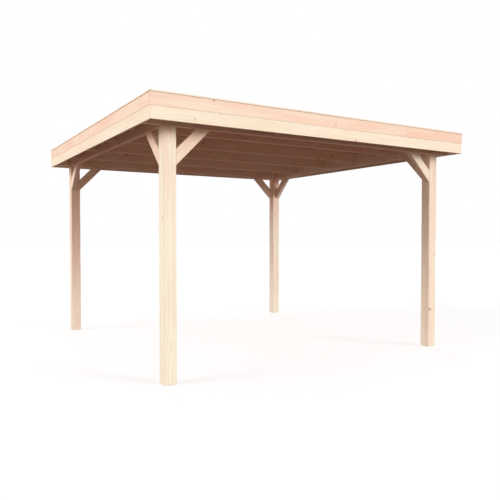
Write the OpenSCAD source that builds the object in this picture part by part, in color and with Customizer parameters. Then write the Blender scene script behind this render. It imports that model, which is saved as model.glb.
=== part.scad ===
// Open garden pavilion with a flat timber roof on four posts.
// Origin: on the ground, under the middle of the roof. +X runs to the right
// along the front, +Y runs to the back and +Z is up. All sizes are millimetres.

/* [Roof outline] */
// Width of the roof over the fascia boards, left to right
roof_w = 3900; // [3000:10:5400]
// Depth of the roof over the fascia boards, front to back
roof_d = 3900; // [3000:10:5400]
// From the outside of the fascia to the outside of the posts
overhang = 200; // [120:5:400]

/* [Posts and ring beams] */
// Clear height from the ground to the underside of the ring beams
clear_h = 2310; // [1900:10:2800]
// Side of the square posts
post_s = 120; // [90:5:160]
// Thickness of the ring beams, flush with the outside of the posts
beam_t = 48; // [38:1:70]
// Width of the eased edges on the posts, beams, braces and joists
ease = 4; // [1:0.5:8]

/* [Knee braces] */
// Long edge of a brace, measured along the post and along the beam
brace_leg = 345; // [280:5:700]
// Width of the brace timber
brace_w = 100; // [70:5:130]
// Thickness of the brace timber, flush with the outside of the posts
brace_t = 58; // [38:1:70]

/* [Joists and outriggers] */
// Height of the joists and of the short outriggers in the overhang
joist_h = 120; // [90:5:145]
// Thickness of the joists and outriggers
joist_t = 48; // [38:1:70]
// Underside of the outriggers above the bottom of the fascia, at the back
back_rise = 8; // [4:1:30]
// Fall of the roof to the back, on each metre of depth
roof_fall = 20; // [5:1:30]

/* [Roof covering] */
// Thickness of the roof boards
deck_t = 19; // [16:1:28]
// Thickness of the roofing sheet
sheet_t = 3; // [2:0.5:6]

/* [Fascia and capping] */
// Thickness of the fascia boards
fascia_t = 20; // [16:1:30]
// Width of the V-joint between the upper and the lower fascia board
fascia_v = 4; // [2:0.5:8]
// Thickness of the capping on top of the fascia
cap_t = 12; // [8:1:25]
// Width of the capping
cap_w = 60; // [40:5:120]
// How far the capping stands out past the fascia
cap_lip = 6; // [2:1:20]
// Gap between the capping and the roofing sheet, at the front
cap_gap = 1; // [0.5:0.5:5]

/* [Hidden] */

// Sides of the pavilion
LEFT = -1;
RIGHT = 1;
FRONT = -1;
BACK = 1;

// Joists between the front and the back beam, and outriggers on each side
BAYS = 5;

// Outside of the posts and beams, from the middle
post_x = roof_w / 2 - overhang;
post_y = roof_d / 2 - overhang;
// Inside of the fascia, from the middle
inner_x = roof_w / 2 - fascia_t;
inner_y = roof_d / 2 - fascia_t;
// Middle of the ring beams, from the middle
beam_x = post_x - beam_t / 2;
beam_y = post_y - beam_t / 2;
// Height of the post's tongue, which ends a little under the lowest roof board
tongue_gap = 18;
tongue_h = back_rise + joist_h - tongue_gap;
// The two fascia boards reach from the underside of the ring beams to the capping
fascia_h = (deck_under(-inner_y) + deck_t + sheet_t + cap_gap) / 2;

timber_colour = [0.93, 0.80, 0.66];
fascia_colour = [0.95, 0.82, 0.70];
boards_colour = [0.87, 0.72, 0.57];
sheet_colour = [0.22, 0.23, 0.24];

// Heights in the roof are measured up from the underside of the ring beams.
// Underside of the joists at a distance y from the middle
function joist_under(y) = back_rise + (inner_y - y) * roof_fall / 1000;
// Underside of the roof boards
function deck_under(y) = joist_under(y) + joist_h;
// Place of the line between two bays, as a share of the way across
function bay_line(i, half) = -half + i * 2 * half / BAYS;

// Section of a planed timber: w wide and h high, with its four edges eased
module planed(w, h) {
    polygon([
        [ease, 0], [w - ease, 0], [w, ease], [w, h - ease],
        [w - ease, h], [ease, h], [0, h - ease], [0, ease]
    ]);
}

// A roof profile drawn in Y and Z, extruded from x0 to x1
module along_x(x0, x1) {
    translate([x0, 0, clear_h])
        rotate([90, 0, 90])
            linear_extrude(x1 - x0) children();
}

// A roof profile drawn in X and Z, extruded from y0 to y1
module along_y(y0, y1) {
    translate([0, y1, clear_h])
        rotate([90, 0, 0])
            linear_extrude(y1 - y0) children();
}

// Profile in Y and Z, from y0 to y1, between a level underside and the roof boards,
// with the lower edges eased
module under_deck(y0, y1, z0) {
    polygon([
        [y0 + ease, z0], [y1 - ease, z0], [y1, z0 + ease],
        [y1, deck_under(y1)], [y0, deck_under(y0)], [y0, z0 + ease]
    ]);
}

// Profile in Y and Z of a band that follows the fall of the roof
module falling_band(y0, y1, above, thickness) {
    polygon([
        [y0, joist_under(y0) + above], [y1, joist_under(y1) + above],
        [y1, joist_under(y1) + above + thickness], [y0, joist_under(y0) + above + thickness]
    ]);
}

// Puts what is drawn for a corner at the origin, with +X and +Y inwards, on its post
module at_corner(side, end) {
    translate([side * post_x, end * post_y, 0])
        mirror([side > 0 ? 1 : 0, 0, 0])
            mirror([0, end > 0 ? 1 : 0, 0])
                children();
}

module post(side, end) {
    color(timber_colour)
        at_corner(side, end)
            difference() {
                linear_extrude(clear_h + tongue_h) planed(post_s, post_s);
                translate([-1, -1, clear_h]) cube([post_s + 2, beam_t + 1, tongue_h + 1]);
                translate([-1, -1, clear_h]) cube([beam_t + 1, post_s + 2, tongue_h + 1]);
            }
}

// A brace in the plane of the front of its post, rising inwards to the beam
module brace_blank() {
    cut = brace_w * sqrt(2);
    intersection() {
        translate([post_s, 0, 0])
            along_y(0, brace_t)
                polygon([[0, -brace_leg], [0, cut - brace_leg], [brace_leg - cut, 0], [brace_leg, 0]]);
        translate([post_s, 0, clear_h - brace_leg])
            rotate([0, -45, 0])
                translate([-brace_w, 0, 0])
                    rotate([90, 0, 90])
                        linear_extrude(2 * brace_leg + brace_w) planed(brace_t, brace_w);
    }
}

// Across: along the front or back beam
module brace_across(side, end) {
    color(timber_colour) at_corner(side, end) brace_blank();
}

// Along: along the left or right beam, as the mirror image about the corner's diagonal
module brace_along(side, end) {
    color(timber_colour) at_corner(side, end) mirror([1, -1, 0]) brace_blank();
}

// The front and back beams run from fascia to fascia
module end_beam(end) {
    y0 = end * beam_y - beam_t / 2;
    color(timber_colour)
        along_x(-inner_x, inner_x) under_deck(y0, y0 + beam_t, 0);
}

// The side beams fit between the end beams, and their tops follow the fall
module side_beam(side) {
    x0 = side * beam_x - beam_t / 2;
    y1 = post_y - beam_t;
    color(timber_colour)
        intersection() {
            along_x(x0, x0 + beam_t)
                polygon([[-y1, 0], [y1, 0], [y1, deck_under(y1)], [-y1, deck_under(-y1)]]);
            along_y(-y1, y1)
                translate([x0, 0]) planed(beam_t, deck_under(-y1) + 2 * ease);
        }
}

// Profile of joist i in Y and Z, with its top planed to the fall
module joist_profile(i) {
    y0 = bay_line(i, beam_y) - joist_t / 2;
    under_deck(y0, y0 + joist_t, joist_under(y0 + joist_t / 2));
}

module joist(i) {
    x1 = post_x - beam_t;
    color(timber_colour) along_x(-x1, x1) joist_profile(i);
}

// Short timbers in line with the joists, from a side beam out to the fascia
module side_outriggers(side) {
    color(timber_colour)
        for (i = [1 : BAYS - 1])
            along_x(min(side * post_x, side * inner_x), max(side * post_x, side * inner_x))
                joist_profile(i);
}

// Short timbers square to the front or back beam, out to the fascia
module end_outriggers(end) {
    y0 = min(end * post_y, end * inner_y);
    y1 = max(end * post_y, end * inner_y);
    color(timber_colour)
        for (i = [1 : BAYS - 1])
            along_x(bay_line(i, beam_x) - joist_t / 2, bay_line(i, beam_x) + joist_t / 2)
                falling_band(y0, y1, 0, joist_h);
}

module roof_boards() {
    color(boards_colour)
        along_x(-inner_x, inner_x) falling_band(-inner_y, inner_y, joist_h, deck_t);
}

module roofing_sheet() {
    color(sheet_colour)
        along_x(-inner_x, inner_x) falling_band(-inner_y, inner_y, joist_h + deck_t, sheet_t);
}

// Profile of a fascia board with its outside at x = 0 and its inside at fascia_t.
// The edge that meets the other board has half of the V-joint.
module fascia_profile(upper) {
    v = fascia_v / 2;
    top = 2 * fascia_h;
    if (upper)
        polygon([[v, fascia_h], [fascia_t, fascia_h], [fascia_t, top], [0, top], [0, fascia_h + v]]);
    else
        polygon([[0, 0], [fascia_t, 0], [fascia_t, fascia_h], [v, fascia_h], [0, fascia_h - v]]);
}

// The front and back boards run the whole width
module end_fascia(end, upper) {
    color(fascia_colour)
        mirror([0, end > 0 ? 1 : 0, 0])
            translate([0, -roof_d / 2, 0])
                along_x(-roof_w / 2, roof_w / 2) fascia_profile(upper);
}

// The side boards fit between the end boards
module side_fascia(side, upper) {
    color(fascia_colour)
        mirror([side > 0 ? 1 : 0, 0, 0])
            translate([-roof_w / 2, 0, 0])
                along_y(-inner_y, inner_y) fascia_profile(upper);
}

// One side of the capping, w long over its outside, mitred at both ends
module capping(w) {
    translate([0, 0, clear_h + 2 * fascia_h])
        linear_extrude(cap_t)
            polygon([[-w / 2, 0], [w / 2, 0], [w / 2 - cap_w, cap_w], [-w / 2 + cap_w, cap_w]]);
}

module end_cap(end) {
    color(fascia_colour)
        mirror([0, end > 0 ? 1 : 0, 0])
            translate([0, -roof_d / 2 - cap_lip, 0]) capping(roof_w + 2 * cap_lip);
}

module side_cap(side) {
    color(fascia_colour)
        mirror([side > 0 ? 1 : 0, 0, 0])
            translate([-roof_w / 2 - cap_lip, 0, 0])
                rotate([0, 0, -90]) capping(roof_d + 2 * cap_lip);
}

post(LEFT, FRONT);  // post_front_left
post(RIGHT, FRONT);  // post_front_right
post(LEFT, BACK);  // post_back_left
post(RIGHT, BACK);  // post_back_right
brace_across(LEFT, FRONT);  // brace_front_left_across
brace_along(LEFT, FRONT);  // brace_front_left_along
brace_across(RIGHT, FRONT);  // brace_front_right_across
brace_along(RIGHT, FRONT);  // brace_front_right_along
brace_across(LEFT, BACK);  // brace_back_left_across
brace_along(LEFT, BACK);  // brace_back_left_along
brace_across(RIGHT, BACK);  // brace_back_right_across
brace_along(RIGHT, BACK);  // brace_back_right_along
end_beam(FRONT);  // beam_front
end_beam(BACK);  // beam_back
side_beam(LEFT);  // beam_left
side_beam(RIGHT);  // beam_right
joist(1);  // joist_1
joist(2);  // joist_2
joist(3);  // joist_3
joist(4);  // joist_4
end_outriggers(FRONT);  // outriggers_front
end_outriggers(BACK);  // outriggers_back
side_outriggers(LEFT);  // outriggers_left
side_outriggers(RIGHT);  // outriggers_right
roof_boards();
roofing_sheet();
end_fascia(FRONT, false);  // fascia_front_lower
end_fascia(FRONT, true);  // fascia_front_upper
end_fascia(BACK, false);  // fascia_back_lower
end_fascia(BACK, true);  // fascia_back_upper
side_fascia(LEFT, false);  // fascia_left_lower
side_fascia(LEFT, true);  // fascia_left_upper
side_fascia(RIGHT, false);  // fascia_right_lower
side_fascia(RIGHT, true);  // fascia_right_upper
end_cap(FRONT);  // cap_front
end_cap(BACK);  // cap_back
side_cap(LEFT);  // cap_left
side_cap(RIGHT);  // cap_right
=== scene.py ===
"""Garden pavilion: four posts with braces carry a flat boarded roof with deep fascia boards.

Every length is in metres and every angle in degrees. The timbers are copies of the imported
model's parts with their arrises eased, so each one keeps its exact size and place.
"""
import math
import random

import bmesh
import bpy
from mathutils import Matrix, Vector


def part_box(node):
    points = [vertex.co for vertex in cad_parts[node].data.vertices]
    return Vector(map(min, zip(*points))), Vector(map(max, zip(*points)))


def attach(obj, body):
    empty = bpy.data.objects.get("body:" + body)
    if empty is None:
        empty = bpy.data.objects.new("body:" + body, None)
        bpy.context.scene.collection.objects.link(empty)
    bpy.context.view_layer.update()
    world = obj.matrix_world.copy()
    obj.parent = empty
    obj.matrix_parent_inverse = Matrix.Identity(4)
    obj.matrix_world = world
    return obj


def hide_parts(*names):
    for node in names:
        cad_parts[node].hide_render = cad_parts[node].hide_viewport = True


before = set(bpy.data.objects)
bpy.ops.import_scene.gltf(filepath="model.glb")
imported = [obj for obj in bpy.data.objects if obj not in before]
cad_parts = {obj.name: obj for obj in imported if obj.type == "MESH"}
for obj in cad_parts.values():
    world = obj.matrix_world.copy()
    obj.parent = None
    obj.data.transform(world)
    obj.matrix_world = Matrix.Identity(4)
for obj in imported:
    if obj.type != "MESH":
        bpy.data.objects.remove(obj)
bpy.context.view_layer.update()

# Timber sizes that the fixings follow
ROOF_HALF = 1.95
FASCIA_INSIDE = 1.93
FASCIA_BOARD = 0.1141
POST_FACE = 1.75
POST_INSIDE = 1.63
POST_TONGUE_LINE = 1.666
BEAM_LINE = 1.726
CLEAR_HEIGHT = 2.31
OUTRIGGER_LINES = (-1.0356, -0.3452, 0.3452, 1.0356)
JOIST_HEIGHT = 0.12
BRACE_LEG = 0.345
BACK_RISE = 0.008
FALL = 0.02

# Roof boarding
BOARD_COUNT = 32
BOARD_THICKNESS = 0.019
BOARD_GROOVE = 0.003
BOARD_GAP = 0.0004
BOARD_CLEARANCE = 0.0005

# Eased arrises: radii, the least angle of a square edge and the joining of packed faces
TIMBER_ARRIS = 0.0025
FASCIA_ARRIS = 0.0014
ARRIS_STEPS = 2
SQUARE_EDGE_FROM = 50.0
MERGE_WITHIN = 0.00002
FLAT_WITHIN = 0.3

# Grain: where each timber's grain starts, how far off its pith lies and how warm it is
GRAIN_SEED = 20
GRAIN_STARTS = (0.0, 40.0)
PITH_DISTANCES = (0.015, 0.075)
TONE_RANGE = (0.15, 0.7)
NARROW_FACE = 0.012
TIMBER_RELIEF = 0.00025
FELT_RELIEF = 0.0008

# Screws
SCREW_RADIUS = 0.0038
SCREW_PROUD = 0.0007
SCREW_RECESS = 0.0019
SCREW_FOOT = 0.0003
SCREW_SIDES = 12
SCREW_TAPER = 0.8
SCREW_SEED = 7
SCREW_EDGE = 0.018
BOARD_END_EDGE = 0.026
TWO_SCREWS_FROM = 0.055
ONE_SCREW_FROM = 0.024
BRACE_SCREW_RUN = 0.03
BRACE_SCREW_ASIDE = 0.011
BEAM_SCREW_HEIGHTS = (2.335, 2.365, 2.395)

# Colours, linear
POST_PALE = (0.96, 0.945, 0.78)
POST_WARM = (0.94, 0.72, 0.58)
FASCIA_TOP_PALE = (0.96, 0.87, 0.715)
FASCIA_TOP_WARM = (0.94, 0.65, 0.51)
FASCIA_LOW_PALE = (0.96, 0.925, 0.76)
FASCIA_LOW_WARM = (0.93, 0.77, 0.59)
# The roof boards are much darker and redder than the other timber: painted shade for the roof's underside.
ROOF_PALE = (0.72, 0.545, 0.41)
ROOF_WARM = (0.66, 0.45, 0.33)
LATEWOOD = (0.74, 0.47, 0.27)
# This brown colours the knots and is also the painted shade colour on arrises and V-joints.
KNOT_AND_SHADE_BROWN = (0.2, 0.085, 0.04)
FELT_DARK = (0.03, 0.031, 0.034)
FELT_PALE = (0.085, 0.087, 0.092)
ZINC = (0.62, 0.61, 0.58)

# How warm each timber is, from its start to its end along the grain; the rest are drawn. The runs are partly
# painted shade: posts warmer towards their tops, where the fascia shades them, and the front fascia warmer
# towards its right end, where the light falls off.
TONE_AND_PAINTED_SHADE_RUNS = {
    "post_front_left": (0.0, 0.3),
    "post_front_right": (0.3, 0.75),
    "post_back_left": (0.55, 0.95),
    "post_back_right": (0.25, 0.85),
    "fascia_front_upper": (0.3, 0.75),
    "fascia_front_lower": (0.1, 0.4),
    "fascia_left_upper": (0.5, 0.7),
    "fascia_left_lower": (0.25, 0.4),
}

# Light
FLOOR_HALF = 60.0
FLOOR_DROP = 0.0005
FLOOR_SHADOW = 0.4
FLOOR_BOUNCE = (0.152, 0.078, 0.065)
HORIZON_COLOUR = (1.55, 1.28, 1.18)
ZENITH_COLOUR = (0.52, 0.52, 0.52)
SKY_GLOW_FROM = 0.1
SKY_GLOW_TO = 0.6
FRONT_PLACE = (5.0, -7.0, 2.8)
FRONT_SPREAD = 24.0
FRONT_STRENGTH = 1.85
SIDE_PLACE = (-9.0, 0.8, 4.6)
SIDE_SPREAD = 30.0
SIDE_STRENGTH = 1.6
BACK_PLACE = (3.0, 9.0, 4.0)
BACK_SPREAD = 40.0
BACK_STRENGTH = 1.0

# Camera
CAMERA_PLACE = (-3.6271, -6.343, 1.3483)
CAMERA_TURN = (88.407, 0.0, -31.018)
CAMERA_LENS = 40.03
SENSOR = 36.0
CAMERA_REACH = 300.0


# ---------------------------------------------------------------- node helpers

def add_node(tree, kind, **settings):
    """A new node with its settings."""
    node = tree.nodes.new(kind)
    for name, value in settings.items():
        setattr(node, name, value)
    return node


def put(tree, socket, value):
    """Link a socket to another, or set its value."""
    if isinstance(value, bpy.types.NodeSocket):
        tree.links.new(value, socket)
    elif value is not None:
        if socket.type == "RGBA" and len(value) == 3:
            value = (*value, 1.0)
        socket.default_value = value


def maths(tree, operation, a, b=None, c=None, clamp=False):
    """The result of a sum on plain numbers."""
    node = add_node(tree, "ShaderNodeMath", operation=operation, use_clamp=clamp)
    for socket, value in zip(node.inputs, (a, b, c)):
        put(tree, socket, value)
    return node.outputs[0]


def vector_maths(tree, operation, a, b=None, output=0):
    """The result of a sum on vectors. Output 1 is a plain number, such as a length."""
    node = add_node(tree, "ShaderNodeVectorMath", operation=operation)
    put(tree, node.inputs[0], a)
    if operation == "SCALE":
        put(tree, node.inputs["Scale"], b)
    else:
        put(tree, node.inputs[1], b)
    return node.outputs[output]


def fade(tree, value, low, high, start=0.0, end=1.0):
    """Smoothly from start at low to end at high."""
    node = add_node(tree, "ShaderNodeMapRange", interpolation_type="SMOOTHSTEP")
    for socket, given in zip(node.inputs, (value, low, high, start, end)):
        put(tree, socket, given)
    return node.outputs[0]


def noise(tree, vector, scale, detail=2.0, roughness=0.5):
    node = add_node(tree, "ShaderNodeTexNoise")
    put(tree, node.inputs["Vector"], vector)
    put(tree, node.inputs["Scale"], scale)
    put(tree, node.inputs["Detail"], detail)
    put(tree, node.inputs["Roughness"], roughness)
    return node.outputs["Fac"]


def mix_colour(tree, share, a, b, blend="MIX"):
    """Mix two colours. On this node they are inputs 6 and 7, and the mixed one is output 2."""
    node = add_node(tree, "ShaderNodeMix", data_type="RGBA", blend_type=blend)
    put(tree, node.inputs["Factor"], share)
    put(tree, node.inputs[6], a)
    put(tree, node.inputs[7], b)
    return node.outputs[2]


def looked_at(tree):
    """1 for rays that show a surface itself: seen, mirrored or through glass. 0 for its light."""
    path = add_node(tree, "ShaderNodeLightPath")
    seen = maths(tree, "MAXIMUM", path.outputs["Is Camera Ray"], path.outputs["Is Glossy Ray"])
    return maths(tree, "MAXIMUM", seen, path.outputs["Is Transmission Ray"])


def new_group(name, inputs, outputs, kind="ShaderNodeTree"):
    """An empty node group with named sockets: (name, type, default)."""
    tree = bpy.data.node_groups.new(name, kind)
    for label, socket_type, default in inputs:
        socket = tree.interface.new_socket(label, in_out="INPUT", socket_type=socket_type)
        if default is not None:
            socket.default_value = default
    for label, socket_type in outputs:
        tree.interface.new_socket(label, in_out="OUTPUT", socket_type=socket_type)
    return tree, add_node(tree, "NodeGroupInput").outputs, add_node(tree, "NodeGroupOutput").inputs


# ---------------------------------------------------------------- shader groups

def ring_group():
    """Growth rings round the pith, which lies along X. They bend round each knot."""
    tree, given, made = new_group(
        "Growth rings",
        [
            ("Grain", "NodeSocketVector", None),
            ("Ring width", "NodeSocketFloat", 0.004),
            ("Waviness", "NodeSocketFloat", 0.02),
            ("Knot swirl", "NodeSocketFloat", 0.0),
        ],
        [("Latewood", "NodeSocketFloat")],
    )
    stretched = vector_maths(tree, "MULTIPLY", given["Grain"], (0.9, 5.0, 5.0))
    drift = add_node(tree, "ShaderNodeTexNoise")
    put(tree, drift.inputs["Vector"], stretched)
    put(tree, drift.inputs["Scale"], 1.0)
    put(tree, drift.inputs["Detail"], 2.0)
    centred = vector_maths(tree, "SUBTRACT", drift.outputs["Color"], (0.5, 0.5, 0.5))
    bent = vector_maths(tree, "SCALE", centred, given["Waviness"])
    moved = vector_maths(tree, "ADD", given["Grain"], bent)
    across = vector_maths(tree, "MULTIPLY", moved, (0.0, 1.0, 1.0))
    radius = vector_maths(tree, "LENGTH", across, output=1)
    turns = maths(tree, "DIVIDE", radius, given["Ring width"])
    swirled = maths(tree, "ADD", turns, given["Knot swirl"])
    share = maths(tree, "FRACT", swirled)
    rising = fade(tree, share, 0.15, 0.88)
    falling = fade(tree, share, 0.9, 1.0, 1.0, 0.0)
    put(tree, made["Latewood"], maths(tree, "MULTIPLY", rising, falling))
    return tree


def knot_group():
    """Scattered round knots: the knot itself, the stained wood round it and how rings swirl."""
    tree, given, made = new_group(
        "Knots",
        [
            ("Grain", "NodeSocketVector", None),
            ("Largest", "NodeSocketFloat", 0.013),
            ("Share", "NodeSocketFloat", 0.5),
        ],
        [("Knot", "NodeSocketFloat"), ("Halo", "NodeSocketFloat"), ("Swirl", "NodeSocketFloat")],
    )
    spread = (4.5, 13.0, 13.0)
    cells = add_node(tree, "ShaderNodeTexVoronoi", feature="F1")
    scaled = vector_maths(tree, "MULTIPLY", given["Grain"], spread)
    put(tree, cells.inputs["Vector"], scaled)
    put(tree, cells.inputs["Scale"], 1.0)
    apart = vector_maths(tree, "SUBTRACT", scaled, cells.outputs["Position"])
    real = vector_maths(tree, "DIVIDE", apart, spread)
    wobble = noise(tree, vector_maths(tree, "SCALE", given["Grain"], 160.0), 1.0, 1.0)
    distance = vector_maths(tree, "LENGTH", real, output=1)
    uneven = maths(tree, "MULTIPLY_ADD", wobble, 0.004, distance)
    colours = add_node(tree, "ShaderNodeSeparateColor")
    put(tree, colours.inputs[0], cells.outputs["Color"])
    chosen = maths(tree, "LESS_THAN", colours.outputs["Red"], given["Share"])
    size = maths(tree, "MULTIPLY_ADD", colours.outputs["Green"], 0.7, 0.3)
    radius = maths(tree, "MULTIPLY", size, given["Largest"])
    nearness = maths(tree, "DIVIDE", uneven, radius)
    inside = fade(tree, nearness, 0.95, 1.15, 1.0, 0.0)
    around = fade(tree, nearness, 0.9, 2.6, 1.0, 0.0)
    put(tree, made["Knot"], maths(tree, "MULTIPLY", inside, chosen))
    put(tree, made["Halo"], maths(tree, "MULTIPLY", around, chosen))
    swirl = fade(tree, nearness, 0.6, 4.5, 3.2, 0.0)
    put(tree, made["Swirl"], maths(tree, "MULTIPLY", swirl, chosen))
    return tree


def timber_group(rings, knots):
    """Planed softwood. Grain runs along X; Tone is a number from 0 to 1 for each timber, which for some
    timbers also carries painted shade. Arris and Arris shade paint shade on the narrow faces of arrises and
    V-joints.
    """
    tree, given, made = new_group(
        "Planed softwood",
        [
            ("Grain", "NodeSocketVector", None),
            ("Tone", "NodeSocketFloat", 0.5),
            ("End grain", "NodeSocketFloat", 0.0),
            ("Arris", "NodeSocketFloat", 0.0),
            ("Arris shade", "NodeSocketFloat", 0.1),
            ("Pale", "NodeSocketColor", (0.9, 0.8, 0.6, 1.0)),
            ("Warm", "NodeSocketColor", (0.8, 0.6, 0.4, 1.0)),
            ("Latewood", "NodeSocketColor", (0.7, 0.5, 0.3, 1.0)),
            ("Knot and shade brown", "NodeSocketColor", (0.2, 0.1, 0.05, 1.0)),
            ("Ring width", "NodeSocketFloat", 0.004),
            ("Ring strength", "NodeSocketFloat", 0.3),
            ("Knot share", "NodeSocketFloat", 0.5),
        ],
        [("Color", "NodeSocketColor"), ("Roughness", "NodeSocketFloat"), ("Height", "NodeSocketFloat")],
    )
    knot = add_node(tree, "ShaderNodeGroup", node_tree=knots)
    put(tree, knot.inputs["Grain"], given["Grain"])
    put(tree, knot.inputs["Share"], given["Knot share"])
    ring = add_node(tree, "ShaderNodeGroup", node_tree=rings)
    put(tree, ring.inputs["Grain"], given["Grain"])
    put(tree, ring.inputs["Ring width"], given["Ring width"])
    put(tree, ring.inputs["Knot swirl"], knot.outputs["Swirl"])

    clouds = noise(tree, vector_maths(tree, "MULTIPLY", given["Grain"], (1.7, 11.0, 11.0)), 1.0, 3.0)
    bands = noise(tree, vector_maths(tree, "MULTIPLY", given["Grain"], (0.8, 38.0, 38.0)), 1.0, 2.0)
    fibres = noise(tree, vector_maths(tree, "MULTIPLY", given["Grain"], (14.0, 620.0, 620.0)), 1.0, 3.0)
    pores = noise(tree, vector_maths(tree, "MULTIPLY", given["Grain"], (60.0, 2200.0, 2200.0)), 1.0, 1.0)

    cloudy = fade(tree, clouds, 0.36, 0.68)
    banded = fade(tree, bands, 0.4, 0.72)
    both = maths(tree, "MULTIPLY_ADD", banded, 0.3, maths(tree, "MULTIPLY", cloudy, 0.6))
    uneven = maths(tree, "MULTIPLY_ADD", both, 0.75, -0.28)
    toned = maths(tree, "MULTIPLY_ADD", given["Tone"], 0.9, uneven, clamp=True)
    colour = mix_colour(tree, toned, given["Pale"], given["Warm"])

    ring_share = maths(tree, "MULTIPLY", ring.outputs["Latewood"], given["Ring strength"])
    end_rings = maths(tree, "MULTIPLY_ADD", given["End grain"], 0.35, 1.0)
    ring_share = maths(tree, "MULTIPLY", ring_share, end_rings, clamp=True)
    colour = mix_colour(tree, ring_share, colour, given["Latewood"])

    streak = fade(tree, fibres, 0.3, 0.7, 0.93, 1.03)
    fine = fade(tree, pores, 0.25, 0.75, 0.97, 1.02)
    both_fine = maths(tree, "MULTIPLY", streak, fine)
    tint = add_node(tree, "ShaderNodeCombineColor")
    for socket in tint.inputs:
        put(tree, socket, both_fine)
    colour = mix_colour(tree, 1.0, colour, tint.outputs[0], "MULTIPLY")

    stained = maths(tree, "MULTIPLY", knot.outputs["Halo"], 0.4)
    colour = mix_colour(tree, stained, colour, given["Latewood"])
    knotty = maths(tree, "MULTIPLY", knot.outputs["Knot"], 0.85)
    colour = mix_colour(tree, knotty, colour, given["Knot and shade brown"])
    ends = maths(tree, "MULTIPLY", fade(tree, given["End grain"], 0.6, 0.95), 0.3)
    colour = mix_colour(tree, ends, colour, given["Latewood"])
    # Painted shade: the marked arris and V-joint faces are darkened towards brown, standing for the shadow in
    # the joints and under the edges.
    arris_painted_shade = maths(tree, "MULTIPLY", given["Arris"], given["Arris shade"])
    colour = mix_colour(tree, arris_painted_shade, colour, given["Knot and shade brown"])
    put(tree, made["Color"], colour)

    rough = fade(tree, fibres, 0.3, 0.7, 0.72, 0.84)
    smoother = maths(tree, "MULTIPLY_ADD", knot.outputs["Knot"], -0.18, rough)
    put(tree, made["Roughness"], smoother)
    raised = maths(tree, "MULTIPLY", ring.outputs["Latewood"], 0.35)
    grooved = maths(tree, "MULTIPLY_ADD", fibres, 0.8, raised)
    put(tree, made["Height"], maths(tree, "MULTIPLY_ADD", pores, 0.3, grooved))
    return tree


def felt_group():
    """Mineral roofing sheet: fine granules, soft wear and slightly raised lap seams across X."""
    tree, given, made = new_group(
        "Mineral sheet",
        [
            ("Place", "NodeSocketVector", None),
            ("Dark", "NodeSocketColor", (0.03, 0.03, 0.03, 1.0)),
            ("Pale", "NodeSocketColor", (0.1, 0.1, 0.1, 1.0)),
            ("Strip", "NodeSocketFloat", 0.98),
        ],
        [("Color", "NodeSocketColor"), ("Roughness", "NodeSocketFloat"), ("Height", "NodeSocketFloat")],
    )
    granules = noise(tree, given["Place"], 900.0, 2.0, 0.7)
    patches = noise(tree, given["Place"], 3.0, 4.0)
    parts = add_node(tree, "ShaderNodeSeparateXYZ")
    put(tree, parts.inputs[0], given["Place"])
    along = maths(tree, "DIVIDE", parts.outputs["X"], given["Strip"])
    lap = maths(tree, "FRACT", maths(tree, "ADD", along, 0.5))
    seam = fade(tree, lap, 0.0, 0.006)
    lapped = fade(tree, lap, 0.1, 0.104, 1.0, 0.0)
    share = maths(tree, "MULTIPLY", fade(tree, granules, 0.35, 0.75), fade(tree, patches, 0.2, 0.8, 0.5, 1.0))
    colour = mix_colour(tree, share, given["Dark"], given["Pale"])
    seam_dark = maths(tree, "SUBTRACT", 1.0, seam)
    colour = mix_colour(tree, maths(tree, "MULTIPLY", seam_dark, 0.7), colour, given["Dark"])
    put(tree, made["Color"], colour)
    put(tree, made["Roughness"], fade(tree, granules, 0.3, 0.7, 0.78, 0.95))
    raised = maths(tree, "MULTIPLY", maths(tree, "MULTIPLY", seam, lapped), 2.0)
    put(tree, made["Height"], maths(tree, "MULTIPLY_ADD", granules, 0.6, raised))
    return tree


# ---------------------------------------------------------------- materials

def blank_material(name):
    material = bpy.data.materials.new(name)
    material.use_nodes = True
    tree = material.node_tree
    tree.nodes.clear()
    surface = add_node(tree, "ShaderNodeBsdfPrincipled")
    result = add_node(tree, "ShaderNodeOutputMaterial")
    tree.links.new(surface.outputs[0], result.inputs["Surface"])
    return material, tree, surface


def finish_surface(tree, surface, group, depth, specular):
    """Colour, roughness and bump from a group go to the shader."""
    bump = add_node(tree, "ShaderNodeBump")
    put(tree, bump.inputs["Strength"], 1.0)
    put(tree, bump.inputs["Distance"], depth)
    put(tree, bump.inputs["Height"], group.outputs["Height"])
    put(tree, surface.inputs["Base Color"], group.outputs["Color"])
    put(tree, surface.inputs["Roughness"], group.outputs["Roughness"])
    put(tree, surface.inputs["Normal"], bump.outputs["Normal"])
    put(tree, surface.inputs["Specular IOR Level"], specular)


def attribute(tree, name, output):
    node = add_node(tree, "ShaderNodeAttribute", attribute_name=name)
    return node.outputs[output]


def timber_material(name, softwood, pale, warm, *, ring_width, ring_strength, knot_share, arris_shade):
    """Planed softwood between a pale and a warm colour. Ring width is in metres."""
    material, tree, surface = blank_material(name)
    wood = add_node(tree, "ShaderNodeGroup", node_tree=softwood)
    put(tree, wood.inputs["Grain"], attribute(tree, "grain", "Vector"))
    put(tree, wood.inputs["Tone"], attribute(tree, "tone", "Fac"))
    put(tree, wood.inputs["End grain"], attribute(tree, "end_grain", "Fac"))
    put(tree, wood.inputs["Arris"], attribute(tree, "arris", "Fac"))
    put(tree, wood.inputs["Arris shade"], arris_shade)
    put(tree, wood.inputs["Pale"], pale)
    put(tree, wood.inputs["Warm"], warm)
    put(tree, wood.inputs["Latewood"], LATEWOOD)
    put(tree, wood.inputs["Knot and shade brown"], KNOT_AND_SHADE_BROWN)
    put(tree, wood.inputs["Ring width"], ring_width)
    put(tree, wood.inputs["Ring strength"], ring_strength)
    put(tree, wood.inputs["Knot share"], knot_share)
    finish_surface(tree, surface, wood, depth=TIMBER_RELIEF, specular=0.2)
    return material


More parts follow.
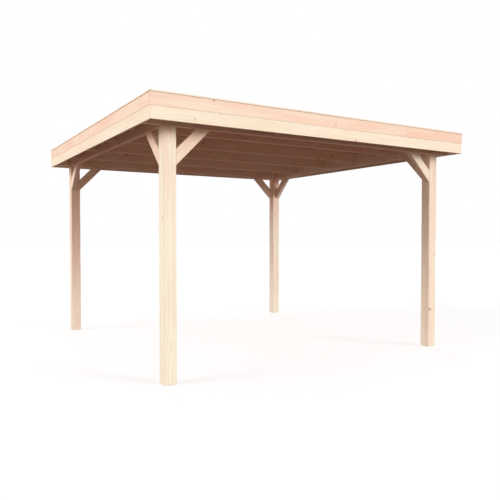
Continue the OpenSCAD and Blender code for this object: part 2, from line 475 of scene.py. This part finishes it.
def felt_material():
    material, tree, surface = blank_material("Roofing sheet")
    sheet = add_node(tree, "ShaderNodeGroup", node_tree=felt_group())
    place = add_node(tree, "ShaderNodeTexCoord").outputs["Object"]
    put(tree, sheet.inputs["Place"], place)
    put(tree, sheet.inputs["Dark"], FELT_DARK)
    put(tree, sheet.inputs["Pale"], FELT_PALE)
    finish_surface(tree, surface, sheet, depth=FELT_RELIEF, specular=0.3)
    return material


def screw_material():
    """Zinc-plated steel with a slightly clouded plating."""
    material, tree, surface = blank_material("Plated screw steel")
    place = add_node(tree, "ShaderNodeTexCoord").outputs["Object"]
    cloud = noise(tree, place, 420.0, 3.0)
    dull = tuple(part * 0.6 for part in ZINC)
    put(tree, surface.inputs["Base Color"], mix_colour(tree, fade(tree, cloud, 0.35, 0.7), ZINC, dull))
    put(tree, surface.inputs["Roughness"], fade(tree, cloud, 0.3, 0.7, 0.32, 0.5))
    put(tree, surface.inputs["Metallic"], 1.0)
    return material


# ---------------------------------------------------------------- timber pieces

def link(name, mesh):
    """An object for a finished mesh, at the origin."""
    piece = bpy.data.objects.new(name, mesh)
    bpy.context.scene.collection.objects.link(piece)
    return piece


def loose_parts(mesh_in_edit):
    """Lists of faces, one list for each separate timber."""
    waiting = set(mesh_in_edit.faces)
    parts = []
    while waiting:
        edge_of_search = [waiting.pop()]
        part = list(edge_of_search)
        while edge_of_search:
            face = edge_of_search.pop()
            for edge in face.edges:
                for beside in edge.link_faces:
                    if beside in waiting:
                        waiting.remove(beside)
                        part.append(beside)
                        edge_of_search.append(beside)
        parts.append(part)
    return parts


def write_grain(mesh_in_edit, along, draw, tone_and_shade_run=None):
    """Give each timber its own grain coordinates in metres, its tone (partly painted shade where a listed run
    is given), its end-grain mask and the mask of its arris faces for painted shade.
    """
    grain = mesh_in_edit.verts.layers.float_vector.new("grain")
    tone = mesh_in_edit.verts.layers.float.new("tone")
    end = mesh_in_edit.faces.layers.float.new("end_grain")
    arris = mesh_in_edit.faces.layers.float.new("arris")
    along = Vector(along).normalized()
    aside = Vector((0.0, 0.0, 1.0)) if abs(along.z) < 0.5 else Vector((1.0, 0.0, 0.0))
    aside = (aside - along * aside.dot(along)).normalized()
    third = along.cross(aside)
    for part in sorted(loose_parts(mesh_in_edit), key=lambda faces: tuple(part_middle(faces))):
        middle = part_middle(part)
        start = draw.uniform(*GRAIN_STARTS)
        pith_far = draw.uniform(*PITH_DISTANCES)
        pith_turn = draw.uniform(0.0, math.tau)
        drawn = draw.uniform(*TONE_RANGE)
        first, last = tone_and_shade_run or (drawn, drawn)
        corners = {corner for face in part for corner in face.verts}
        half = max(abs((corner.co - middle).dot(along)) for corner in corners)
        for corner in corners:
            place = corner.co - middle
            corner[grain] = Vector((
                place.dot(along) + start,
                place.dot(aside) + pith_far * math.cos(pith_turn),
                place.dot(third) + pith_far * math.sin(pith_turn),
            ))
            # A listed run makes the tone change along the timber: partly painted shade, warmer where the
            # timber lies in shade.
            corner[tone] = first + (last - first) * (place.dot(along) / half + 1.0) / 2.0
        for face in part:
            face[end] = abs(face.normal.dot(along))
            squareness = max(abs(face.normal.dot(way)) for way in (along, aside, third))
            lengthwise = abs(face.normal.dot(along)) < 0.3
            # Painted shade: the narrow lengthwise faces of eased arrises and V-joints are marked to be
            # darkened, standing for the shadow in each joint and along each edge.
            face[arris] = 1.0 if squareness < 0.95 and lengthwise and narrow(face) else 0.0


def narrow(face):
    """True for the slim faces of an eased arris or a V-joint."""
    return face.calc_area() < NARROW_FACE * max(edge.calc_length() for edge in face.edges)


def part_middle(faces):
    """The middle of the box round some faces."""
    corners = [corner.co for face in faces for corner in face.verts]
    low = Vector(min(place[axis] for place in corners) for axis in range(3))
    high = Vector(max(place[axis] for place in corners) for axis in range(3))
    return (low + high) / 2.0


def ease_arrises(mesh_in_edit, radius):
    """Round the square outer edges of a timber by a small radius."""
    sharp = [
        edge for edge in mesh_in_edit.edges
        if edge.is_manifold and edge.is_convex and edge.calc_face_angle(0.0) > math.radians(SQUARE_EDGE_FROM)
    ]
    bmesh.ops.bevel(
        mesh_in_edit, geom=sharp, offset=radius, offset_type="OFFSET", segments=ARRIS_STEPS,
        profile=0.5, affect="EDGES", clamp_overlap=True,
    )


def eased_timber(node, along, material, arris, draw):
    """A copy of a packed timber with eased arrises and its own grain, which stands for it."""
    work = bmesh.new()
    work.from_mesh(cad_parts[node].data)
    bmesh.ops.remove_doubles(work, verts=work.verts, dist=MERGE_WITHIN)
    bmesh.ops.dissolve_limit(
        work, angle_limit=math.radians(FLAT_WITHIN), verts=work.verts, edges=work.edges,
    )
    ease_arrises(work, arris)
    write_grain(work, along, draw, TONE_AND_PAINTED_SHADE_RUNS.get(node))
    mesh = bpy.data.meshes.new(node + "_timber")
    work.to_mesh(mesh)
    work.free()
    mesh.materials.append(material)
    piece = link(node + "_timber", mesh)
    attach(piece, "root")
    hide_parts(node)


# ---------------------------------------------------------------- roof boarding

def one_roof_board(width, length, thickness, groove):
    """A board along Y with its lower long edges planed off, so that a V shows at each joint."""
    half = width / 2.0 - BOARD_GAP / 2.0
    outline = (
        (-half, groove), (-half, thickness), (half, thickness),
        (half, groove), (half - groove, 0.0), (-half + groove, 0.0),
    )
    work = bmesh.new()
    rings = []
    for y in (-length / 2.0, length / 2.0):
        rings.append([work.verts.new((x, y, z)) for x, z in outline])
    work.faces.new(rings[0])
    work.faces.new(reversed(rings[1]))
    count = len(outline)
    for index in range(count):
        after = (index + 1) % count
        work.faces.new((rings[0][after], rings[0][index], rings[1][index], rings[1][after]))
    bmesh.ops.recalc_face_normals(work, faces=work.faces)
    mesh = bpy.data.meshes.new("roof_board")
    work.to_mesh(mesh)
    work.free()
    return mesh


def boarding_tree():
    """Repeat a board across X, then drop every point by the fall towards the back."""
    tree, given, made = new_group(
        "Roof boarding",
        [
            ("Board", "NodeSocketGeometry", None),
            ("Count", "NodeSocketInt", 2),
            ("Pitch", "NodeSocketFloat", 0.1),
            ("First", "NodeSocketVector", None),
            ("Fall", "NodeSocketFloat", 0.02),
            ("Timber", "NodeSocketMaterial", None),
        ],
        [("Boards", "NodeSocketGeometry")],
        "GeometryNodeTree",
    )
    step = add_node(tree, "ShaderNodeCombineXYZ")
    put(tree, step.inputs["X"], given["Pitch"])
    line = add_node(tree, "GeometryNodeMeshLine", mode="OFFSET")
    put(tree, line.inputs["Count"], given["Count"])
    put(tree, line.inputs["Start Location"], given["First"])
    put(tree, line.inputs["Offset"], step.outputs[0])
    boards = add_node(tree, "GeometryNodeInstanceOnPoints")
    put(tree, boards.inputs["Points"], line.outputs["Mesh"])
    put(tree, boards.inputs["Instance"], given["Board"])
    real = add_node(tree, "GeometryNodeRealizeInstances")
    put(tree, real.inputs[0], boards.outputs[0])
    place = add_node(tree, "ShaderNodeSeparateXYZ")
    put(tree, place.inputs[0], add_node(tree, "GeometryNodeInputPosition").outputs[0])
    drop = add_node(tree, "ShaderNodeCombineXYZ")
    steep = maths(tree, "MULTIPLY", given["Fall"], -1.0)
    put(tree, drop.inputs["Z"], maths(tree, "MULTIPLY", place.outputs["Y"], steep))
    fallen = add_node(tree, "GeometryNodeSetPosition")
    put(tree, fallen.inputs["Geometry"], real.outputs[0])
    put(tree, fallen.inputs["Offset"], drop.outputs[0])
    dressed = add_node(tree, "GeometryNodeSetMaterial")
    put(tree, dressed.inputs["Geometry"], fallen.outputs[0])
    put(tree, dressed.inputs["Material"], given["Timber"])
    put(tree, made["Boards"], dressed.outputs[0])
    return tree


def run_tree(piece, tree, values):
    """Run a Geometry Nodes tree on a piece with these inputs, and return the plain mesh."""
    modifier = piece.modifiers.new(tree.name, "NODES")
    modifier.node_group = tree
    for item in tree.interface.items_tree:
        if item.item_type == "SOCKET" and item.in_out == "INPUT" and item.name in values:
            modifier[item.identifier] = values[item.name]
    graph = bpy.context.evaluated_depsgraph_get()
    graph.update()
    mesh = bpy.data.meshes.new_from_object(piece.evaluated_get(graph), depsgraph=graph)
    piece.modifiers.remove(modifier)
    return mesh


def roof_boards(material, draw):
    """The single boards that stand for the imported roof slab."""
    low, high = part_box("roof_boards")
    width = high.x - low.x
    pitch = width / BOARD_COUNT
    length = high.y - low.y - 2.0 * BOARD_CLEARANCE
    middle_underside = high.z - BOARD_THICKNESS - FALL * (high.y - low.y) / 2.0
    board = link("roof_board_pattern", one_roof_board(pitch, length, BOARD_THICKNESS, BOARD_GROOVE))
    values = {
        "Count": BOARD_COUNT,
        "Pitch": pitch,
        "First": (low.x + pitch / 2.0, 0.0, middle_underside),
        "Fall": FALL,
        "Timber": material,
    }
    mesh = run_tree(board, boarding_tree(), values)
    bpy.data.objects.remove(board)
    work = bmesh.new()
    work.from_mesh(mesh)
    write_grain(work, (0.0, 1.0, 0.0), draw)
    work.to_mesh(mesh)
    work.free()
    mesh.name = "roof_boards_single"
    piece = link("roof_boards_single", mesh)
    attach(piece, "root")
    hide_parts("roof_boards")


# ---------------------------------------------------------------- screws

def screw_head():
    """A low chamfered head with a round driving recess, facing up Z."""
    work = bmesh.new()

    def ring(radius, height):
        return [
            work.verts.new((
                radius * math.cos(math.tau * index / SCREW_SIDES),
                radius * math.sin(math.tau * index / SCREW_SIDES),
                height,
            ))
            for index in range(SCREW_SIDES)
        ]

    foot = ring(SCREW_RADIUS, -SCREW_FOOT)
    brim = ring(SCREW_RADIUS, SCREW_PROUD * 0.5)
    crown = ring(SCREW_RADIUS * SCREW_TAPER, SCREW_PROUD)
    mouth = ring(SCREW_RECESS, SCREW_PROUD)
    bottom = ring(SCREW_RECESS * SCREW_TAPER, 0.0)
    for lower, upper in ((foot, brim), (brim, crown), (crown, mouth), (mouth, bottom)):
        for index in range(SCREW_SIDES):
            after = (index + 1) % SCREW_SIDES
            work.faces.new((lower[index], lower[after], upper[after], upper[index]))
    work.faces.new(bottom)
    work.faces.new(reversed(foot))
    mesh = bpy.data.meshes.new("screw_head")
    work.to_mesh(mesh)
    work.free()
    return mesh


def screwing_tree():
    """Set a screw head on every point, facing out along the point's own direction."""
    tree, given, made = new_group(
        "Screws",
        [
            ("Points", "NodeSocketGeometry", None),
            ("Head", "NodeSocketObject", None),
            ("Seed", "NodeSocketInt", SCREW_SEED),
            ("Steel", "NodeSocketMaterial", None),
        ],
        [("Screws", "NodeSocketGeometry")],
        "GeometryNodeTree",
    )
    head = add_node(tree, "GeometryNodeObjectInfo", transform_space="ORIGINAL")
    put(tree, head.inputs["Object"], given["Head"])
    facing = add_node(tree, "GeometryNodeInputNamedAttribute", data_type="FLOAT_VECTOR")
    put(tree, facing.inputs["Name"], "facing")
    turned = add_node(tree, "FunctionNodeAlignEulerToVector", axis="Z")
    put(tree, turned.inputs["Vector"], facing.outputs["Attribute"])
    spin = add_node(tree, "FunctionNodeRandomValue", data_type="FLOAT")
    put(tree, spin.inputs[3], math.tau)
    put(tree, spin.inputs["Seed"], given["Seed"])
    about = add_node(tree, "ShaderNodeCombineXYZ")
    put(tree, about.inputs["Z"], spin.outputs[1])
    rotated = add_node(tree, "FunctionNodeRotateEuler", rotation_type="EULER", space="LOCAL")
    put(tree, rotated.inputs["Rotation"], turned.outputs[0])
    put(tree, rotated.inputs["Rotate By"], about.outputs[0])
    placed = add_node(tree, "GeometryNodeInstanceOnPoints")
    put(tree, placed.inputs["Points"], given["Points"])
    put(tree, placed.inputs["Instance"], head.outputs["Geometry"])
    put(tree, placed.inputs["Rotation"], rotated.outputs[0])
    real = add_node(tree, "GeometryNodeRealizeInstances")
    put(tree, real.inputs[0], placed.outputs[0])
    dressed = add_node(tree, "GeometryNodeSetMaterial")
    put(tree, dressed.inputs["Geometry"], real.outputs[0])
    put(tree, dressed.inputs["Material"], given["Steel"])
    put(tree, made["Screws"], dressed.outputs[0])
    return tree


def round_the_roof(front_points, facing):
    """Repeat points on the front side for the other three sides."""
    found = []
    for turn in range(4):
        cosine = round(math.cos(turn * math.pi / 2.0))
        sine = round(math.sin(turn * math.pi / 2.0))
        for x, y, z in front_points:
            place = (cosine * x - sine * y, sine * x + cosine * y, z)
            way = (cosine * facing[0] - sine * facing[1], sine * facing[0] + cosine * facing[1], facing[2])
            found.append((place, way))
    return found


def timber_top(y):
    """Height of the top of the beams, joists and outriggers, which falls towards the back."""
    return CLEAR_HEIGHT + BACK_RISE + (FASCIA_INSIDE - y) * FALL + JOIST_HEIGHT


def fixing_heights(board_low, board_high, timber_low, y):
    """Heights for a fascia board's screws: in the timber behind it, or else in the roof boards."""
    low = max(board_low, timber_low)
    high = min(board_high, timber_top(y))
    if high - low > TWO_SCREWS_FROM:
        return [low + SCREW_EDGE, high - SCREW_EDGE]
    if high - low > ONE_SCREW_FROM:
        return [(low + high) / 2.0]
    return [timber_top(y) + BOARD_THICKNESS / 2.0]


def fascia_screws():
    """Screws through the fascia into the outriggers, the long beams' ends and the boards' ends."""
    found = []
    board_end_line = (ROOF_HALF + FASCIA_INSIDE) / 2.0
    for number in range(2):
        low = CLEAR_HEIGHT + number * FASCIA_BOARD
        high = low + FASCIA_BOARD
        for out in (-1.0, 1.0):
            y = out * FASCIA_INSIDE
            heights = fixing_heights(low, high, timber_top(y) - JOIST_HEIGHT, y)
            spots = [(x, z) for x in OUTRIGGER_LINES for z in heights]
            corner_heights = (low + BOARD_END_EDGE, high - BOARD_END_EDGE)
            spots += [(x, z) for x in (-board_end_line, board_end_line) for z in corner_heights]
            found += [((x, out * ROOF_HALF, z), (0.0, out, 0.0)) for x, z in spots]
            spots = []
            for y in OUTRIGGER_LINES:
                heights = fixing_heights(low, high, timber_top(y) - JOIST_HEIGHT, y)
                spots += [(y, z) for z in heights]
            for y in (-BEAM_LINE, BEAM_LINE):
                heights = fixing_heights(low, high, CLEAR_HEIGHT, y)
                spots += [(y, z) for z in heights]
            found += [((out * ROOF_HALF, y, z), (out, 0.0, 0.0)) for y, z in spots]
    return found


def beam_screws():
    """Screws through the ring beams, under the overhang: into the posts and the side beams' ends."""
    found = []
    for end in (-1.0, 1.0):
        for side in (-1.0, 1.0):
            for z in BEAM_SCREW_HEIGHTS:
                found.append(((side * BEAM_LINE, end * POST_FACE, z), (0.0, end, 0.0)))
                found.append(((side * POST_TONGUE_LINE, end * POST_FACE, z), (0.0, end, 0.0)))
                found.append(((side * POST_FACE, end * POST_TONGUE_LINE, z), (side, 0.0, 0.0)))
    return found


def brace_screws():
    """Two screws at each end of every brace, square to its lower face, into the post and the beam."""
    found = []
    slant = math.sqrt(0.5)
    for run in (BRACE_SCREW_RUN, BRACE_LEG - BRACE_SCREW_RUN):
        for aside in (-BRACE_SCREW_ASIDE, BRACE_SCREW_ASIDE):
            x = -POST_INSIDE + run
            z = CLEAR_HEIGHT - BRACE_LEG + run
            found.append((x, -BEAM_LINE + aside, z))
    mirrored = [(-x, y, z) for x, y, z in found]
    left = round_the_roof(found, (slant, 0.0, -slant))
    right = round_the_roof(mirrored, (-slant, 0.0, -slant))
    return left + right


def screws(name, places, tree, head, material):
    """A piece with a screw head at every place, each facing its own way."""
    mesh = bpy.data.meshes.new(name)
    mesh.from_pydata([place for place, _ in places], [], [])
    facing = mesh.attributes.new("facing", "FLOAT_VECTOR", "POINT")
    facing.data.foreach_set("vector", [part for _, way in places for part in way])
    points = link(name + "_points", mesh)
    made = run_tree(points, tree, {"Head": head, "Seed": SCREW_SEED, "Steel": material})
    bpy.data.objects.remove(points)
    made.name = name
    piece = link(name, made)
    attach(piece, "root")


# ---------------------------------------------------------------- stage

def floor():
    """A plain floor that shows white with the pavilion's soft shadow, and bounces a dull warm light."""
    mesh = bpy.data.meshes.new("floor")
    corners = ((-1, -1), (1, -1), (1, 1), (-1, 1))
    mesh.from_pydata([(x * FLOOR_HALF, y * FLOOR_HALF, -FLOOR_DROP) for x, y in corners], [], [(0, 1, 2, 3)])
    material = bpy.data.materials.new("Studio floor")
    material.use_nodes = True
    tree = material.node_tree
    tree.nodes.clear()
    white = add_node(tree, "ShaderNodeEmission")
    shaded = add_node(tree, "ShaderNodeBsdfDiffuse")
    put(tree, shaded.inputs["Color"], (1.0, 1.0, 1.0))
    pale = add_node(tree, "ShaderNodeMixShader")
    put(tree, pale.inputs[0], FLOOR_SHADOW)
    put(tree, pale.inputs[1], white.outputs[0])
    put(tree, pale.inputs[2], shaded.outputs[0])
    bounce = add_node(tree, "ShaderNodeBsdfDiffuse")
    put(tree, bounce.inputs["Color"], FLOOR_BOUNCE)
    choice = add_node(tree, "ShaderNodeMixShader")
    put(tree, choice.inputs[0], looked_at(tree))
    put(tree, choice.inputs[1], bounce.outputs[0])
    put(tree, choice.inputs[2], pale.outputs[0])
    below = add_node(tree, "ShaderNodeMixShader")
    put(tree, below.inputs[0], add_node(tree, "ShaderNodeNewGeometry").outputs["Backfacing"])
    put(tree, below.inputs[1], choice.outputs[0])
    put(tree, below.inputs[2], add_node(tree, "ShaderNodeBsdfTransparent").outputs[0])
    result = add_node(tree, "ShaderNodeOutputMaterial")
    put(tree, result.inputs["Surface"], below.outputs[0])
    mesh.materials.append(material)
    link("floor", mesh)


def sky():
    """Soft light from all round, white where it is looked at."""
    world = bpy.data.worlds.new("Studio sky")
    bpy.context.scene.world = world
    world.use_nodes = True
    tree = world.node_tree
    tree.nodes.clear()
    way = add_node(tree, "ShaderNodeSeparateXYZ")
    put(tree, way.inputs[0], add_node(tree, "ShaderNodeTexCoord").outputs["Generated"])
    light = add_node(tree, "ShaderNodeBackground")
    height = fade(tree, way.outputs["Z"], SKY_GLOW_FROM, SKY_GLOW_TO)
    put(tree, light.inputs["Color"], mix_colour(tree, height, HORIZON_COLOUR, ZENITH_COLOUR))
    white = add_node(tree, "ShaderNodeBackground")
    put(tree, white.inputs["Color"], (1.0, 1.0, 1.0))
    choice = add_node(tree, "ShaderNodeMixShader")
    put(tree, choice.inputs[0], looked_at(tree))
    put(tree, choice.inputs[1], light.outputs[0])
    put(tree, choice.inputs[2], white.outputs[0])
    result = add_node(tree, "ShaderNodeOutputWorld")
    put(tree, result.inputs["Surface"], choice.outputs[0])


def soft_lamp(name, place, spread, strength):
    """A distant soft light that shines from a place towards the middle of the pavilion."""
    lamp = bpy.data.lights.new(name, "SUN")
    lamp.angle = math.radians(spread)
    lamp.energy = strength
    stand = bpy.data.objects.new(name, lamp)
    bpy.context.scene.collection.objects.link(stand)
    stand.location = place
    stand.rotation_euler = (-Vector(place)).to_track_quat("-Z", "Y").to_euler()


def camera():
    lens = bpy.data.cameras.new("camera")
    lens.sensor_width = SENSOR
    lens.lens = CAMERA_LENS
    lens.clip_end = CAMERA_REACH
    stand = bpy.data.objects.new("camera", lens)
    bpy.context.scene.collection.objects.link(stand)
    stand.location = CAMERA_PLACE
    stand.rotation_euler = [math.radians(angle) for angle in CAMERA_TURN]
    bpy.context.scene.camera = stand


# ---------------------------------------------------------------- making

bpy.context.scene.view_settings.view_transform = "Standard"
camera()
sky()
floor()
soft_lamp("front_light", FRONT_PLACE, FRONT_SPREAD, FRONT_STRENGTH)
soft_lamp("side_light", SIDE_PLACE, SIDE_SPREAD, SIDE_STRENGTH)
soft_lamp("back_light", BACK_PLACE, BACK_SPREAD, BACK_STRENGTH)

softwood = timber_group(ring_group(), knot_group())
post_timber = timber_material(
    "Post timber", softwood, POST_PALE, POST_WARM,
    ring_width=0.0045, ring_strength=0.18, knot_share=0.35, arris_shade=0.08,
)
frame_timber = timber_material(
    "Frame timber", softwood, POST_PALE, POST_WARM,
    ring_width=0.004, ring_strength=0.24, knot_share=0.4, arris_shade=0.08,
)
# The fascia boards get the strongest painted shade in their V-joints and under the cap.
fascia_top = timber_material(
    "Upper fascia timber", softwood, FASCIA_TOP_PALE, FASCIA_TOP_WARM,
    ring_width=0.0035, ring_strength=0.2, knot_share=0.35, arris_shade=0.35,
)
fascia_low = timber_material(
    "Lower fascia timber", softwood, FASCIA_LOW_PALE, FASCIA_LOW_WARM,
    ring_width=0.0035, ring_strength=0.2, knot_share=0.35, arris_shade=0.35,
)
board_timber = timber_material(
    "Roof board timber", softwood, ROOF_PALE, ROOF_WARM,
    ring_width=0.003, ring_strength=0.3, knot_share=0.4, arris_shade=0.1,
)

X, Y, Z = (1.0, 0.0, 0.0), (0.0, 1.0, 0.0), (0.0, 0.0, 1.0)
draw = random.Random(GRAIN_SEED)
for end in ("front", "back"):
    for side in ("left", "right"):
        eased_timber(f"post_{end}_{side}", Z, post_timber, TIMBER_ARRIS, draw)
        across = (1.0 if side == "left" else -1.0, 0.0, 1.0)
        along = (0.0, 1.0 if end == "front" else -1.0, 1.0)
        eased_timber(f"brace_{end}_{side}_across", across, frame_timber, TIMBER_ARRIS, draw)
        eased_timber(f"brace_{end}_{side}_along", along, frame_timber, TIMBER_ARRIS, draw)
for number in range(1, 5):
    eased_timber(f"joist_{number}", X, frame_timber, TIMBER_ARRIS, draw)
for side, run, out in (("front", X, Y), ("back", X, Y), ("left", Y, X), ("right", Y, X)):
    eased_timber(f"beam_{side}", run, frame_timber, TIMBER_ARRIS, draw)
    eased_timber(f"outriggers_{side}", out, frame_timber, TIMBER_ARRIS, draw)
    eased_timber(f"fascia_{side}_lower", run, fascia_low, FASCIA_ARRIS, draw)
    eased_timber(f"fascia_{side}_upper", run, fascia_top, FASCIA_ARRIS, draw)
    eased_timber(f"cap_{side}", run, fascia_low, FASCIA_ARRIS, draw)
roof_boards(board_timber, draw)

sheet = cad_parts["roofing_sheet"]
sheet.data.materials.clear()
sheet.data.materials.append(felt_material())

head = link("screw_head_pattern", screw_head())
steel = screw_material()
screwing = screwing_tree()
screws("fascia_screws", fascia_screws(), screwing, head, steel)
screws("frame_screws", brace_screws() + beam_screws(), screwing, head, steel)
bpy.data.objects.remove(head)
